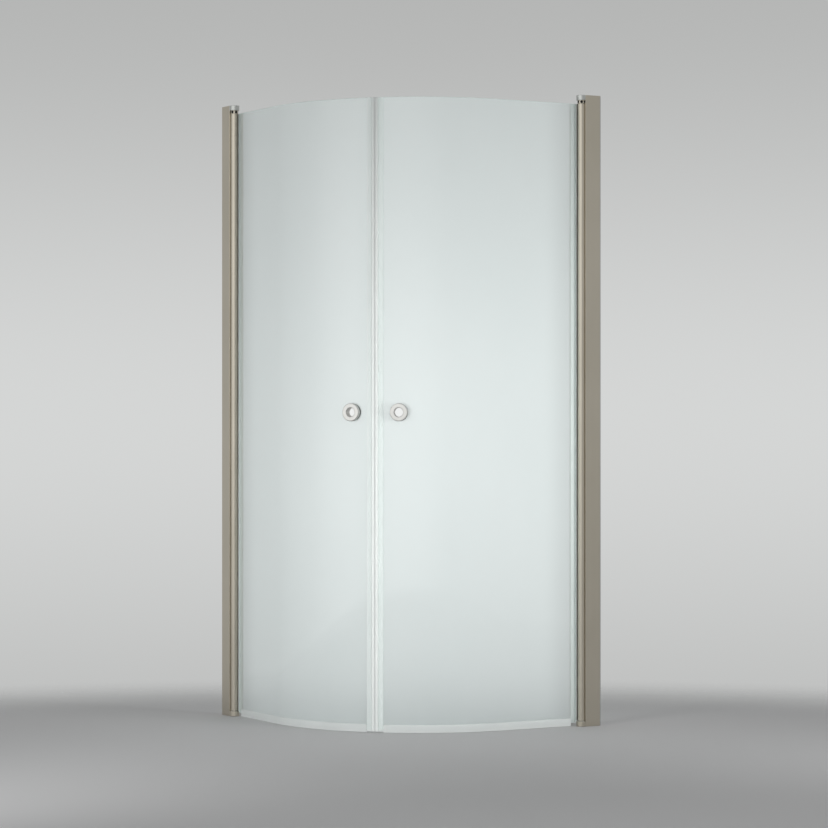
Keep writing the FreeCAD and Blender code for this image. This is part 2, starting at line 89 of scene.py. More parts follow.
# glass
GLASS = 6.0
GLASS_LOW = 12.0
GLASS_START = 78.5
BEND_CENTRE = 355.0
BEND = 520.0
GLASS_LINE = BEND_CENTRE + BEND
MIDDLE = BEND - GLASS / 2
EDGE_SETBACK = 10.95
ARRIS = 0.7

# seals
SEAL_FRONT = 0.2
LIP_FRONT = 0.05
SEAL_BACK = 10.8
SEAL_HALF = 6.0
SEAL_WALL = 1.2
SEAL_FIT = 0.15
SEAL_LOW = 4.0
LEG_END = 25.8
MAGNET_GAP = 0.1
FLOOR_START = 99.0
FLOOR_GAP = 1.0
FLOOR_LIP = 1.5
FLOOR_BASE = 2.0
FLOOR_TOP = 26.0

# grip
GRIP_ANGLE = DIAGONAL - math.asin(76.0 / BEND)
GRIP_HEIGHT = 995.0
GRIP_AXIS = np.array([BEND_CENTRE, BEND_CENTRE, GRIP_HEIGHT])
GRIP_OUTWARD = np.array([math.cos(GRIP_ANGLE), math.sin(GRIP_ANGLE), 0.0])
GRIP_BESIDE = np.array([-math.sin(GRIP_ANGLE), math.cos(GRIP_ANGLE), 0.0])
UP = np.array([0.0, 0.0, 1.0])
GRIP_HOLE = 17.9
GRIP_BORE = 14.0
GRIP_RADIUS = 28.0
GRIP_FRONT = 13.5
GRIP_BACK = -12.5
GRIP_GASKET = 1.5
NECK_RADIUS = 16.5
NECK_END = -10.5
NECK_GAP = 0.05

# meshes
ROW = 80.0  # rows of points up a tall wall are about this far apart
PATCH = 40.0  # half side of the square round the grip in the pane's grid
PATCH_COUNT = 16
LEAST_LENGTH = 1e-9
LEAST_TURN = 1e-6
LEAST_STEP = 1e-5
LEAST_AREA = 1e-12
MERGE_DIGITS = 4
SHARP_ANGLE = math.radians(40)
FORWARD = slice(None)
BACKWARD = slice(None, None, -1)
# the corners that stay when a quad's first, second, third or fourth side has no length
CORNERS_LEFT = np.array([[0, 2, 3], [0, 1, 3], [0, 1, 2], [0, 1, 2]])


# Outlines

def rounded(corners, radius, steps=5):
    """Closed outline whose corners are arcs. Each arc starts and ends at radius / tan(half the
    corner's angle) from the corner, its centre lies on the bisector, and its points turn evenly
    between them."""
    corner = np.asarray(corners, float)
    radius = np.broadcast_to(np.asarray(radius, float), len(corner))[:, None]
    back = np.roll(corner, 1, 0) - corner
    ahead = np.roll(corner, -1, 0) - corner
    back /= np.linalg.norm(back, axis=1, keepdims=True)
    ahead /= np.linalg.norm(ahead, axis=1, keepdims=True)
    half = np.arccos(np.clip((back * ahead).sum(1, keepdims=True), -1, 1)) / 2
    middle = back + ahead
    middle /= np.maximum(np.linalg.norm(middle, axis=1, keepdims=True), LEAST_LENGTH)
    centre = corner + middle * radius / np.sin(half)
    first = (corner + back * radius / np.tan(half) - centre)[:, None]
    last = (corner + ahead * radius / np.tan(half) - centre)[:, None]
    turn = np.maximum(np.pi - 2 * half, LEAST_TURN)[:, None]
    share = np.linspace(0, 1, steps)[None, :, None]
    swung = (np.sin((1 - share) * turn) * first + np.sin(share * turn) * last) / np.sin(turn)
    points = (centre[:, None] + swung).reshape(-1, 2)
    apart = np.linalg.norm(points - np.roll(points, 1, 0), axis=1) > LEAST_STEP
    return points[apart]


def arc(centre, radius, first, last, count):
    """Points on a circle from one angle to another, in degrees."""
    angle = np.radians(np.linspace(first, last, count))
    return np.asarray(centre) + radius * np.stack([np.cos(angle), np.sin(angle)], 1)


def circle(centre, radius, count=32):
    """Evenly spaced points once round a circle."""
    return arc(centre, radius, 0, 360, count + 1)[:-1]


def square_ring(count):
    """Points round a square of half side one, evenly spaced on each side, from its lower right
    corner."""
    run = np.linspace(-1, 1, count + 1)[:-1]
    one = np.ones(count)
    return np.concatenate([np.stack([one, run], 1), np.stack([-run, one], 1),
                           np.stack([-one, -run], 1), np.stack([run, -one], 1)])


def area(loop):
    """Signed area: half the sum of the cross products of neighbouring points."""
    ahead = np.roll(loop, -1, 0)
    return (loop[:, 0] * ahead[:, 1] - ahead[:, 0] * loop[:, 1]).sum() / 2


def boundary(loop):
    """The outline with its inside on the left of the way round."""
    return loop if area(loop) > 0 else loop[::-1]


def opening(loop):
    """The outline of a hole, with the material on the left of the way round."""
    return loop if area(loop) < 0 else loop[::-1]


def drawn_in(loop, inset):
    """The outline moved into the material: each point goes along the sum of its two edges' left
    normals, divided by one plus their cosine."""
    edge = np.roll(loop, -1, 0) - loop
    edge /= np.linalg.norm(edge, axis=1, keepdims=True)
    normal = np.stack([-edge[:, 1], edge[:, 0]], 1)
    before = np.roll(normal, 1, 0)
    return loop + inset * (before + normal) / (1 + (before * normal).sum(1, keepdims=True))


# Surfaces: each returns points and faces

def grid_faces(rows, columns, wrap=False):
    """Quads of a grid of points; their normal is the row direction crossed with the column
    direction."""
    row = np.arange(rows - 1)[:, None] * columns
    column = np.arange(columns if wrap else columns - 1)[None, :]
    above = row + columns
    beside = (column + 1) % columns
    quads = np.stack([row + column, above + column, above + beside, row + beside], -1)
    return quads.reshape(-1, 4)


def lid_faces(loops):
    """Triangles that fill outlines with holes, turned so that they face up in the outlines'
    plane."""
    flat = [np.pad(loop, ((0, 0), (0, 1))).tolist() for loop in loops]
    faces = np.array(tessellate_polygon(flat), int)
    points = np.concatenate(loops)
    side = points[faces[:, 1]] - points[faces[:, 0]]
    other = points[faces[:, 2]] - points[faces[:, 0]]
    cross = side[:, 0] * other[:, 1] - side[:, 1] * other[:, 0]
    faces[cross < 0] = faces[cross < 0][:, ::-1]
    return faces[np.abs(cross) > LEAST_AREA]


def at_height(loop, height):
    """The outline's points at a height."""
    return np.column_stack([loop, np.full(len(loop), height)])


def rounding(low, high, low_edge, high_edge, steps=4):
    """Heights and insets of a side wall whose two ends are rounded as quarter circles, with rows
    between them."""
    turn = np.linspace(0, np.pi / 2, steps)
    rise = 1 - np.cos(turn)
    draw = 1 - np.sin(turn)
    start = np.array([[low, 0.0]])
    if low_edge:
        start = np.stack([low + low_edge * rise, low_edge * draw], 1)
    end = np.array([[high, 0.0]])
    if high_edge:
        end = np.stack([high - high_edge * rise, high_edge * draw], 1)[::-1]
    rows = np.linspace(start[-1, 0], end[0, 0], math.ceil((high - low) / ROW) + 1)[1:-1]
    return np.concatenate([start, np.stack([rows, np.zeros(len(rows))], 1), end])


def lid(loops, height, up):
    """Flat end that fills outlines with holes, facing up or down."""
    faces = lid_faces(loops)
    return at_height(np.concatenate(loops), height), faces if up else faces[:, ::-1]


def raised(loops, low, high, low_edge, high_edge, low_lid=True, high_lid=True, steps=4):
    """Outlines carried straight up, with rounded ends and lids."""
    levels = rounding(low, high, low_edge, high_edge, steps)
    for loop in loops:
        points = [at_height(drawn_in(loop, inset), height) for height, inset in levels]
        yield np.concatenate(points), grid_faces(len(levels), len(loop), True)[:, ::-1]
    if low_lid:
        yield lid([drawn_in(loop, levels[0, 1]) for loop in loops], low, False)
    if high_lid:
        yield lid([drawn_in(loop, levels[-1, 1]) for loop in loops], high, True)


def turned(profile, origin, across, up, count=64, closed=True):
    """Profile of radius and height turned about an axis: radius times cosine along one direction
    square to it and times sine along the other, height along their cross product. An open profile
    is a bore."""
    across = np.asarray(across, float)
    up = np.asarray(up, float)
    angle = np.linspace(0, 2 * np.pi, count + 1)[:-1]
    ring = np.cos(angle)[:, None] * across + np.sin(angle)[:, None] * up
    path = np.concatenate([profile, profile[:1]]) if closed else np.asarray(profile, float)
    points = origin + path[:, :1, None] * ring + path[:, 1:, None] * np.cross(across, up)
    faces = grid_faces(len(path), count, True)
    return points.reshape(-1, 3), faces[:, ::-1] if closed else faces


def upright_bore(profile, centre, count=32):
    """Open profile of radius and height turned about an upright axis."""
    return turned(profile, np.array([*centre, 0.0]), (1, 0, 0), (0, 1, 0), count, False)


def on_glass(start, angle, offset, height):
    """Points by the glass: start is how far along b its straight run has come, angle how far round
    its bend, offset how far outwards from its outer face."""
    radius = BEND + offset
    along = BEND_CENTRE + radius * np.cos(angle)
    across = start + radius * np.sin(angle)
    return np.stack(np.broadcast_arrays(along, across, height), -1)


def carried(section, start, stop_angle, straight=12, bent=48):
    """Section of offset and height carried along the glass, on its straight run up to the bend and
    then round it, with filled ends."""
    run = np.concatenate([np.linspace(start, BEND_CENTRE, straight), np.full(bent, BEND_CENTRE)])
    turn = np.concatenate([np.zeros(straight), np.linspace(0, stop_angle, bent + 1)[1:]])
    points = on_glass(run[:, None], turn[:, None], section[None, :, 0], section[None, :, 1])
    yield points.reshape(-1, 3), grid_faces(len(run), len(section), True)
    faces = lid_faces([section])
    yield points[0], faces
    yield points[-1], faces[:, ::-1]


def angle_short_of(setback):
    """Angle round the bend at a distance short of the plane where the doors meet."""
    return DIAGONAL - math.asin(setback / MIDDLE)


def on_bend(radius, setback):
    """Point at a radius from the bend's axis, at a distance short of the meeting plane."""
    angle = angle_short_of(setback)
    return (BEND_CENTRE + radius * math.cos(angle), BEND_CENTRE + radius * math.sin(angle))


def by_meeting(setback, offset):
    """Point square to the meeting plane, at an offset from the glass's middle surface."""
    reach = MIDDLE + offset
    cosine = math.cos(DIAGONAL)
    return (BEND_CENTRE + (reach + setback) * cosine, BEND_CENTRE + (reach - setback) * cosine)


def by_grip(reach, lateral, height):
    """Points beside the grip's axis: reach from the bend's axis, lateral along the glass, height
    above it."""
    plan = reach[..., None] * GRIP_OUTWARD + lateral[..., None] * GRIP_BESIDE
    return GRIP_AXIS + plan + height[..., None] * UP


# Materials

MIX_FIRST, MIX_SECOND, MIX_COLOUR = 6, 7, 2  # colour sockets of the mix node
PATTERN_LOW, PATTERN_HIGH = 0.3, 0.7


def node(tree, kind, inputs=(), **settings):
    """New node with its settings, and its inputs linked or set."""
    made = tree.nodes.new(kind)
    for name, setting in settings.items():
        setattr(made, name, setting)
    for name, source in dict(inputs).items():
        if isinstance(source, bpy.types.NodeSocket):
            tree.links.new(source, made.inputs[name])
        else:
            made.inputs[name].default_value = source
    return made


def maths(tree, operation, *values):
    """Outcome of an operation on one or two values."""
    return node(tree, "ShaderNodeMath", enumerate(values), operation=operation).outputs[0]


def smooth_step(tree, value, edges, outcomes):
    """Smooth step from one outcome to another while a value goes from one edge to another."""
    return node(tree, "ShaderNodeMapRange", {
        "Value": value, "From Min": edges[0], "From Max": edges[1],
        "To Min": outcomes[0], "To Max": outcomes[1]},
        interpolation_type="SMOOTHSTEP").outputs["Result"]


def blend(tree, factor, first, second):
    """Colour between two tones."""
    return node(tree, "ShaderNodeMix", {
        "Factor": factor, MIX_FIRST: (*first, 1.0), MIX_SECOND: (*second, 1.0)},
        data_type="RGBA").outputs[MIX_COLOUR]


def pattern(name, output, stretch, detail, rough):
    """Group that puts out one noise value on object coordinates, stretched along the axes."""
    tree = bpy.data.node_groups.new(name, "ShaderNodeTree")
    tree.interface.new_socket("Scale", in_out="INPUT", socket_type="NodeSocketFloat")
    tree.interface.new_socket(output, in_out="OUTPUT", socket_type="NodeSocketFloat")
    given = node(tree, "NodeGroupInput")
    place = node(tree, "ShaderNodeTexCoord")
    longer = node(tree, "ShaderNodeVectorMath", {0: place.outputs["Object"], 1: stretch},
                  operation="MULTIPLY")
    noise = node(tree, "ShaderNodeTexNoise", {
        "Vector": longer.outputs["Vector"], "Scale": given.outputs["Scale"],
        "Detail": detail, "Roughness": rough})
    result = node(tree, "NodeGroupOutput")
    tree.links.new(noise.outputs["Fac"], result.inputs[output])
    return tree


DRAWN_LINES = pattern("drawn_lines", "Line", stretch=(1.0, 1.0, 0.004), detail=3.0, rough=0.6)
MOTTLE = pattern("mottle", "Mottle", stretch=(1.0, 1.0, 0.6), detail=4.0, rough=0.55)
GRAIN = pattern("grain", "Grain", stretch=(1.0, 1.0, 1.0), detail=2.0, rough=0.5)


def placed(tree, group, scale):
    """The value of a pattern's group at a scale."""
    made = tree.nodes.new("ShaderNodeGroup")
    made.node_tree = group
    made.inputs["Scale"].default_value = scale
    return made.outputs[0]


def spread(tree, source, low, high):
    """The pattern's usual range spread between two values."""
    return node(tree, "ShaderNodeMapRange", {
        "Value": source, "From Min": PATTERN_LOW, "From Max": PATTERN_HIGH,
        "To Min": low, "To Max": high}).outputs["Result"]


def finish(name, light, dark, rough, texture, bump, shader=(), mottle=5.0, passes=None):
    """Finish whose colour drifts between two tones, and whose roughness and fine relief follow a
    texture. A clear finish passes some of the lamps' light on to what is behind it."""
    material = bpy.data.materials.new(name)
    material.use_nodes = True
    tree = material.node_tree
    principled = tree.nodes["Principled BSDF"]
    drift = spread(tree, placed(tree, MOTTLE, mottle), 0.0, 1.0)
    tree.links.new(blend(tree, drift, dark, light), principled.inputs["Base Color"])
    mark = placed(tree, *texture)
    tree.links.new(spread(tree, mark, *rough), principled.inputs["Roughness"])
    strength, depth = bump
    relief = node(tree, "ShaderNodeBump", {"Height": mark, "Strength": strength, "Distance": depth})
    tree.links.new(relief.outputs["Normal"], principled.inputs["Normal"])
    for socket, setting in dict(shader).items():
        principled.inputs[socket].default_value = setting
    if passes:
        ray = node(tree, "ShaderNodeLightPath")
        clear = node(tree, "ShaderNodeBsdfTransparent", {"Color": (*passes, 1.0)})
        mixed = node(tree, "ShaderNodeMixShader", {
            0: ray.outputs["Is Shadow Ray"], 1: principled.outputs["BSDF"],
            2: clear.outputs["BSDF"]})
        tree.links.new(mixed.outputs[0], tree.nodes["Material Output"].inputs["Surface"])
    return material


def painted_hinge_shade(material, depth, edges):
    """Painted shade: colour that deepens towards the hinge, standing in for the shade of the tube
    and
    the wall there: times one less the depth, by a smooth step of the larger of x and y between two
    edges in metres."""
    tree = material.node_tree
    colour = tree.nodes["Principled BSDF"].inputs["Base Color"]
    place = node(tree, "ShaderNodeTexCoord")
    parts = node(tree, "ShaderNodeSeparateXYZ", {0: place.outputs["Object"]})
    larger = maths(tree, "MAXIMUM", parts.outputs["X"], parts.outputs["Y"])
    share = smooth_step(tree, larger, edges, (1.0, 1.0 - depth))
    scaled = node(tree, "ShaderNodeVectorMath", {0: colour.links[0].from_socket, "Scale": share},
                  operation="SCALE")
    tree.links.new(scaled.outputs["Vector"], colour)


def see_through(weight, index):
    """Shader settings of a finish that lets a share of the light in, with its refractive index."""
    return {"Transmission Weight": weight, "IOR": index}


METAL = {"Metallic": 1.0}
LINES = (DRAWN_LINES, 1400.0)
VINYL_INDEX = 1.46
GLASS_INDEX = 1.52

champagne_aluminium = finish(
    "champagne_aluminium", (0.61, 0.56, 0.475), (0.56, 0.515, 0.43),
    rough=(0.32, 0.44), texture=LINES, bump=(0.08, 0.0002), shader=METAL)
mill_aluminium = finish(
    "mill_aluminium", (0.56, 0.56, 0.55), (0.48, 0.48, 0.475),
    rough=(0.36, 0.52), texture=LINES, bump=(0.15, 0.0002), shader=METAL)
satin_grey_metal = finish(
    "satin_grey_metal", (0.58, 0.59, 0.575), (0.52, 0.53, 0.515),
    rough=(0.34, 0.44), texture=(GRAIN, 1800.0), bump=(0.08, 0.0002), shader=METAL, mottle=20.0)
stainless_steel = finish(
    "stainless_steel", (0.55, 0.55, 0.54), (0.48, 0.48, 0.475),
    rough=(0.24, 0.36), texture=(GRAIN, 2400.0), bump=(0.06, 0.0001), shader=METAL, mottle=60.0)
satin_nickel = finish(
    "satin_nickel", (0.72, 0.712, 0.69), (0.67, 0.662, 0.64),
    rough=(0.26, 0.36), texture=(GRAIN, 2200.0), bump=(0.06, 0.0001), shader=METAL, mottle=30.0)
grey_plastic = finish(
    "grey_plastic", (0.29, 0.28, 0.25), (0.25, 0.24, 0.215),
    rough=(0.45, 0.6), texture=(GRAIN, 1600.0), bump=(0.15, 0.0002), mottle=40.0)
bearing_plastic = finish(
    "bearing_plastic", (0.76, 0.75, 0.70), (0.70, 0.69, 0.64),
    rough=(0.35, 0.48), texture=(GRAIN, 1600.0), bump=(0.1, 0.0002), mottle=40.0)
dark_rubber = finish(
    "dark_rubber", (0.03, 0.03, 0.029), (0.02, 0.02, 0.02),
    rough=(0.55, 0.75), texture=(GRAIN, 1500.0), bump=(0.25, 0.0002), mottle=30.0)
# painted shade: near black inside the collar's holes and on a rim round each, for the shade in the
# holes
painted_hole_shade = finish(
    "painted_hole_shade", (0.03, 0.029, 0.027), (0.018, 0.018, 0.017),
    rough=(0.55, 0.7), texture=(GRAIN, 1800.0), bump=(0.15, 0.0002), mottle=60.0)
bond_tape = finish(
    "bond_tape", (0.74, 0.74, 0.725), (0.69, 0.69, 0.675),
    rough=(0.5, 0.65), texture=(GRAIN, 900.0), bump=(0.2, 0.0002), mottle=30.0)
magnet_rubber = finish(
    "magnet_rubber", (0.80, 0.81, 0.795), (0.75, 0.76, 0.745),
    rough=(0.45, 0.6), texture=(GRAIN, 1200.0), bump=(0.1, 0.0002),
    shader=see_through(0.25, VINYL_INDEX), mottle=30.0)
pale_lip = finish(
    "pale_lip", (0.72, 0.735, 0.73), (0.67, 0.685, 0.68),
    rough=(0.5, 0.65), texture=(GRAIN, 900.0), bump=(0.2, 0.0002), mottle=30.0)
clear_vinyl = finish(
    "clear_vinyl", (0.91, 0.925, 0.92), (0.88, 0.90, 0.895),
    rough=(0.36, 0.46), texture=(MOTTLE, 60.0), bump=(0.03, 0.0002),
    shader=see_through(0.62, VINYL_INDEX), mottle=12.0, passes=(0.8, 0.82, 0.81))
clear_leg = finish(
    "clear_leg", (0.95, 0.965, 0.96), (0.93, 0.95, 0.945),
    rough=(0.36, 0.46), texture=(MOTTLE, 60.0), bump=(0.02, 0.0002),
    shader=see_through(0.8, VINYL_INDEX), mottle=12.0, passes=(0.9, 0.92, 0.91))
soft_floor_seal = finish(
    "soft_floor_seal", (0.72, 0.74, 0.735), (0.69, 0.712, 0.707),
    rough=(0.4, 0.5), texture=(MOTTLE, 60.0), bump=(0.03, 0.0002),
    shader=see_through(0.45, VINYL_INDEX), mottle=12.0, passes=(0.8, 0.82, 0.81))
glass_face = finish(
    "glass_face", (0.94, 0.972, 0.97), (0.92, 0.957, 0.953),
    rough=(0.03, 0.06), texture=(MOTTLE, 14.0), bump=(0.02, 0.0002),
    shader=see_through(1.0, GLASS_INDEX), mottle=2.0, passes=(0.91, 0.93, 0.92))
glass_frosting = finish(
    "glass_frosting", (0.92, 0.965, 0.967), (0.89, 0.94, 0.942),
    rough=(0.34, 0.42), texture=(GRAIN, 2600.0), bump=(0.12, 0.0001),
    shader=see_through(0.7, GLASS_INDEX), mottle=3.0, passes=(0.78, 0.80, 0.79))
glass_arris = finish(
    "glass_arris", (0.80, 0.90, 0.87), (0.75, 0.86, 0.825),
    rough=(0.4, 0.55), texture=(GRAIN, 1400.0), bump=(0.1, 0.0002),
    shader=see_through(0.35, GLASS_INDEX), mottle=12.0, passes=(0.7, 0.8, 0.77))
# painted shade on the frosted face: its colour darkens towards the hinge
painted_hinge_shade(glass_frosting, depth=0.22, edges=(0.24, 0.38))


# Pieces

def built(name, patches, materials, swapped):
    """Object of patches of points, faces and material numbers. Points that meet are merged, and a
    face with a merged side becomes a triangle. Swapping a and b mirrors the piece, so its faces
    turn round."""
    points = []
    faces = []
    start = 0
    for spots, corners, *number in patches:
        if corners.shape[1] == 3:
            corners = corners[:, [0, 1, 2, 2]]
        numbers = np.broadcast_to(number[0] if number else 0, len(corners))
        faces.append(np.column_stack([corners + start, numbers]))
        points.append(spots)
        start += len(spots)
    points = np.round(np.concatenate(points), MERGE_DIGITS)
    faces = np.concatenate(faces)
    spots, merged = np.unique(points, axis=0, return_inverse=True)
    corners = merged.ravel()[faces[:, :4]]
    shut = corners == np.roll(corners, -1, 1)
    whole = shut.sum(1) == 0
    narrow = shut.sum(1) == 1
    quads = corners[whole]
    triangles = np.take_along_axis(corners[narrow], CORNERS_LEFT[shut[narrow].argmax(1)], 1)
    numbers = np.concatenate([faces[whole, 4], faces[narrow, 4]]).astype(np.int32)
    spots = (HALF_SIDE * np.array([1, 1, 0]) - spots * np.array([1, 1, -1])) * MM
    if swapped:
        spots = spots[:, [1, 0, 2]]
        quads = quads[:, ::-1]
        triangles = triangles[:, ::-1]
    mesh = bpy.data.meshes.new(name)
    mesh.from_pydata(spots.tolist(), [], quads.tolist() + triangles.tolist())
    for material in materials:
        mesh.materials.append(material)
    mesh.polygons.foreach_set("material_index", numbers)
    mesh.polygons.foreach_set("use_smooth", np.ones(len(mesh.polygons), bool))
    mesh.set_sharp_from_angle(angle=SHARP_ANGLE)
    mesh.validate()
    mesh.update()
    piece = bpy.data.objects.new(name, mesh)
    bpy.context.scene.collection.objects.link(piece)
    evened = piece.modifiers.new("evened_normals", "WEIGHTED_NORMAL")
    evened.keep_sharp = True
    return piece


def both_sides(name, patches, materials, body, stands_for):
    """The piece on the left and, mirrored, on the right."""
    patches = list(patches)
    for side, swapped in (("left", False), ("right", True)):
        piece = built(f"{side}_{name}", patches, materials, swapped)
        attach(piece, f"{side}_door" if body == "door" else "wall_frame")
        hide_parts(f"{side}_{stands_for}")


def cover_extrusion():
    """Cover profile: its section, with the hollow open to the wall and the scoop round the tube,
    between the brackets, and its two side walls on to the ends."""
    fillet = 0.1
    back_edge = 0.4
    scoop_edge = 0.5
    front_edge = 1.0
    end_edge = 0.3
    hair = 0.001
    count = 33
    near = INNER_FACE + PROFILE_WALL
    far = OUTER_FACE - PROFILE_WALL
    half = math.sqrt(SCOOP_RADIUS ** 2 - (PIVOT[1] - COVER_FRONT) ** 2)
    tip = math.degrees(math.atan2(COVER_FRONT - PIVOT[1], half))
    corners = np.concatenate([
        [[INNER_FACE, COVER_BACK], [near, COVER_BACK], [near, CAVITY_FRONT], [far, CAVITY_FRONT],
         [far, COVER_BACK], [OUTER_FACE, COVER_BACK], [OUTER_FACE, COVER_FRONT],
         [far, COVER_FRONT]],
        arc(PIVOT, SCOOP_RADIUS, tip, -180 - tip, count),
        [[near, COVER_FRONT], [INNER_FACE, COVER_FRONT]]])
    radii = np.concatenate([
        [back_edge, back_edge, fillet, fillet, back_edge, back_edge, front_edge, 0, scoop_edge],
        np.zeros(count - 2), [scoop_edge, 0, front_edge]])
    section = boundary(rounded(corners, radii))
    along, across = section.T
    top = HEIGHT - BRACKET
    yield from raised([section], BRACKET, top, 0, 0, False, False)
    between = (along > near - hair) & (along < far + hair)
    front = section[between & (across > CAVITY_FRONT - fillet - hair)]
    yield lid([front], BRACKET, False)
    yield lid([front], top, True)
    for wall in (section[along < near + hair], section[along > far - hair]):
        yield from raised([wall], 0, BRACKET, end_edge, 0, True, False)
        yield from raised([wall], top, HEIGHT, 0, end_edge, False, True)


def pivot_block(at_top):
    """Bracket: plan of a body between the cover's side walls and a half-round nose, carried up, a
    bore for the pin towards the tube, and stepped holes whose pockets open away from it."""
    edge = 0.8
    plan_edge = 0.9
    notch = 0.2
    count = 49
    low = HEIGHT - BRACKET if at_top else 0.0
    high = low + BRACKET
    root = COVER_FRONT + BRACKET_GAP
    relief = root + 0.05
    corners = np.concatenate([
        [[FIT_NEAR, CAVITY_FRONT], [FIT_FAR, CAVITY_FRONT], [FIT_FAR, relief], [OUTER_FACE, root]],
        arc(PIVOT, NOSE_RADIUS, 0, 180, count), [[INNER_FACE, root], [FIT_NEAR, relief]]])
    radii = np.concatenate([[plan_edge, plan_edge, notch, plan_edge], np.zeros(count),
                            [plan_edge, notch]])
    plan = boundary(rounded(corners, radii))
    yield from raised([plan], low, high, edge, edge, False, False, 5)
    wide = [opening(circle(port, HEAD_POCKET)) for port in PORTS]
    narrow = [opening(circle(port, PORT_HOLE)) for port in PORTS]
    narrow.append(opening(circle(PIVOT, PIN_BORE)))
    for height, up in ((low, False), (high, True)):
        yield lid([drawn_in(plan, edge)] + (wide if up == at_top else narrow), height, up)
    tube_side, far_side, inward = (low, high, 1) if at_top else (high, low, -1)
    step = far_side - inward * HEAD_DEPTH
    floor = tube_side + inward * PIN_SEAT
    order = FORWARD if at_top else BACKWARD
    stepped = np.array([[PORT_HOLE, tube_side], [PORT_HOLE, step],
                        [HEAD_POCKET, step], [HEAD_POCKET, far_side]])
    for port in PORTS:
        yield upright_bore(stepped[order], port)
    blind = np.array([[PIN_BORE, tube_side], [PIN_BORE, floor], [0.0, floor]])
    yield upright_bore(blind[order], PIVOT)


def holed_collar():
    """Ring whose outside has a patch for each hole, from a round hole with a rim of painted shade
    out
    to its share of the ring: points go evenly from the rim to the patch's border. The hole's wall
    runs in to a flat floor, both painted near black as the shade in the hole."""
    edge = 0.5
    count = 12
    rows = 5
    plain, dark = 0, 1
    low = HEIGHT - BRACKET - COLLAR
    middle = low + COLLAR / 2
    share = math.pi / COLLAR_HOLES
    border = square_ring(count) * np.array([share, COLLAR / 2 - edge])
    way = np.arctan2(border[:, 1], border[:, 0] * TUBE_RADIUS)
    across = COLLAR_HOLE * np.cos(way)
    rise = COLLAR_HOLE * np.sin(way)
    hole = np.stack([np.arcsin(across / TUBE_RADIUS), rise], 1)
    rim = np.stack([np.arcsin(COLLAR_RIM * np.cos(way) / TUBE_RADIUS),
                    COLLAR_RIM * np.sin(way)], 1)
    mix = np.linspace(0, 1, rows)[:, None, None]
    face = np.concatenate([hole[None], rim * (1 - mix) + border * mix])
    # the first ring round each hole is the rim of painted shade
    numbers = np.where(np.arange((len(face) - 1) * len(border)) < len(border), dark, plain)
    well = np.array([[1.0, 1.0], [1.0, 0.5], [1.0, 0.0], [0.0, 0.0]])
    reach = np.sqrt(TUBE_RADIUS ** 2 - across ** 2) - COLLAR_FLOOR
    depth = COLLAR_FLOOR + well[:, 1:] * reach
    side = well[:, :1] * across
    for turn in (2 * np.arange(COLLAR_HOLES) + 1) * share:
        angle = face[..., 0] + turn
        points = np.stack([PIVOT[0] + TUBE_RADIUS * np.cos(angle),
                           PIVOT[1] + TUBE_RADIUS * np.sin(angle),
                           middle + face[..., 1]], -1)
        yield points.reshape(-1, 3), grid_faces(len(face), len(border), True), numbers
        inside = np.stack([PIVOT[0] + depth * math.cos(turn) - side * math.sin(turn),
                           PIVOT[1] + depth * math.sin(turn) + side * math.cos(turn),
                           middle + well[:, :1] * rise], -1)
        yield inside.reshape(-1, 3), grid_faces(len(well), len(border), True)[:, ::-1], dark
    levels = rounding(low, low + COLLAR, edge, edge)
    wall = np.stack([TUBE_RADIUS - levels[:, 1], levels[:, 0]], 1)
    half = len(levels) // 2
    bore = [[PIN_BORE, low + COLLAR], [PIN_BORE, low]]
    points, faces = upright_bore(np.concatenate([wall[half:], bore, wall[:half]]), PIVOT,
                                 COLLAR_HOLES * count)
    yield points, faces[:, ::-1]


def end_plug(at_top):
    """Plug in the cover's open end, more rounded at its outer end."""
    corner = 0.8
    inner_edge = 0.2
    outer_edge = 0.6
    low = HEIGHT - PLUG if at_top else 0.0
    edges = (inner_edge, outer_edge) if at_top else (outer_edge, inner_edge)
    front = CAVITY_FRONT - BRACKET_GAP
    corners = [[FIT_NEAR, PLUG_BACK], [FIT_FAR, PLUG_BACK], [FIT_FAR, front], [FIT_NEAR, front]]
    return raised([boundary(rounded(corners, corner))], low, low + PLUG, *edges)


def tube_and_leaf():
    """Round tube with a web to the flat leaf behind the glass."""
    end_edge = 0.4
    fillet = 0.5
    leaf_edge = 0.8
    count = 97
    root = math.degrees(math.atan2(WEB, -math.sqrt(TUBE_RADIUS ** 2 - WEB ** 2)))
    leaf = [[LEAF_FRONT, PIVOT[1] + WEB], [LEAF_FRONT, LEAF_END],
            [LEAF_BACK, LEAF_END], [LEAF_BACK, PIVOT[1] - WEB]]
    corners = np.concatenate([arc(PIVOT, TUBE_RADIUS, -root, root, count), leaf])
    radii = np.concatenate([np.zeros(count), [fillet, leaf_edge, leaf_edge, leaf_edge]])
    outside = boundary(rounded(corners, radii))
    inside = opening(circle(PIVOT, TUBE_BORE, 64))
    return raised([outside, inside], TUBE_LOW, TUBE_HIGH, end_edge, end_edge)


def rubber_strip():
    """Gasket in the corner of tube, leaf and glass edge: a dark head by the tube and a pale lip by
    the glass."""
    gap = 0.3
    step = 0.2
    end_edge = 0.3
    back = LEAF_FRONT + gap
    neck = 871.45
    front = GLASS_LINE - step
    root = PIVOT[1] + WEB + gap
    shoulder = 73.9
    lip = 75.8
    end = GLASS_START - gap
    pale_from = np.array([869.5, lip - 0.35])
    corners = [[back, root], [neck, root], [neck, shoulder], [GLASS_LINE, shoulder],
               [GLASS_LINE, lip - step], [front, lip], [front, end], [back, end]]
    outline = boundary(rounded(corners, [0.3, 0.3, 0.6, 1.0, 0, 0, 1.0, 0.3]))
    for points, faces in raised([outline], TUBE_LOW, TUBE_HIGH, end_edge, end_edge):
        yield points, faces, (points[faces, :2].min(1) > pale_from).all(1)


